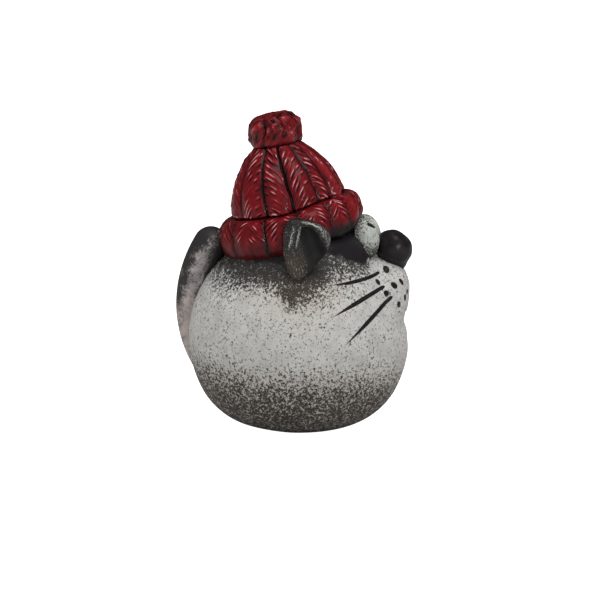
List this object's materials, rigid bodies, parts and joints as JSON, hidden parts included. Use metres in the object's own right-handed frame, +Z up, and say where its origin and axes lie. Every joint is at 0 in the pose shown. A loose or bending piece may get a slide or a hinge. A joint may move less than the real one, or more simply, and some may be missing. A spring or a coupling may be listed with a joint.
{
  "type": "cat figurine",
  "caption": "Round hollow ceramic cat in a ribbed knitted hat, with ears, eyes, nose, muzzle pads and tail luted on, standing on a flat foot.",
  "frame": {"origin": "centre of the bounding box at the surface that the foot stands on, on the middle plane of the cat and midway between nose and tail", "axes": "+Z up, -Y the way the cat looks, +X towards the cat's left"},
  "size_m": [0.11, 0.118, 0.1576],
  "materials": {
    "speckled_body": "white engobe with dark speckles, charcoal under the hat and at the foot, satin",
    "muzzle_white": "white engobe with painted black dots, satin",
    "nose_black": "black glaze, soft gloss",
    "eye_white": "white glaze with dark speckles and a painted black pupil",
    "ear_grey": "charcoal glaze rubbed light on its rim, gloss",
    "tail_grey": "grey wash over charcoal, satin",
    "hat_red": "deep red transparent glaze over black oxide in the grooves, high gloss"
  },
  "bodies": {
    "root": {"body_shell": "speckled_body", "muzzle_right": "muzzle_white", "muzzle_left": "muzzle_white", "nose": "nose_black", "eye_right": "eye_white", "eye_left": "eye_white", "ear_right": "ear_grey", "ear_left": "ear_grey", "tail": "tail_grey", "hat_crown": "hat_red", "hat_cuff": "hat_red", "hat_pompom": "hat_red"}
  },
  "joints": []
}
